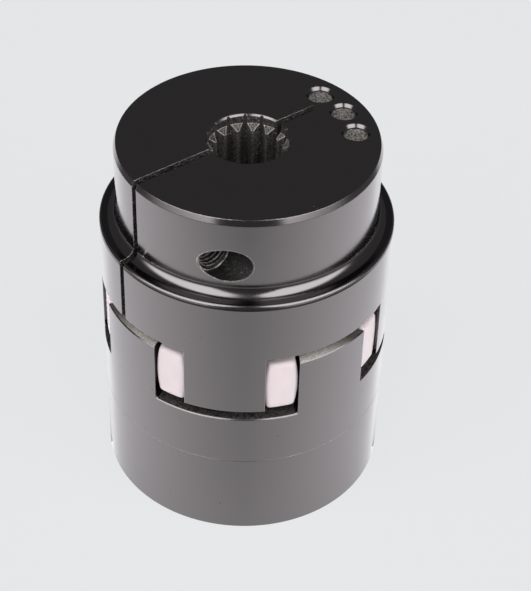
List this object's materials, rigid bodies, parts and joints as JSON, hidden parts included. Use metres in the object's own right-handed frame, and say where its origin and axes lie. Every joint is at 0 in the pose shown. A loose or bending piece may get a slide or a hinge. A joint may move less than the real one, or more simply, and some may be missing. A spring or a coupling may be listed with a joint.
{
  "type": "jaw coupling",
  "caption": "Backlash-free jaw coupling for two shafts: a splined clamping hub and a keyed hub, with a crowned elastic spider seated between their jaws.",
  "frame": {"origin": "on the coupling's axis, in the end face of the keyed hub on which it stands", "axes": "+Z along the axis, from the keyed hub to the clamping hub; -Y is the side that faces the picture's camera"},
  "size_m": [0.105, 0.105, 0.14],
  "materials": {
    "hub_steel": "fine turned steel with a dark, thinly oiled surface",
    "spider_elastomer": "pale pink cast polyurethane, satin",
    "screw_steel": "black-oxidised screw steel"
  },
  "bodies": {
    "root": {"keyed_hub": "hub_steel", "clamping_hub": "hub_steel", "spider": "spider_elastomer", "clamp_screw": "screw_steel", "set_screw": "screw_steel"}
  },
  "joints": []
}
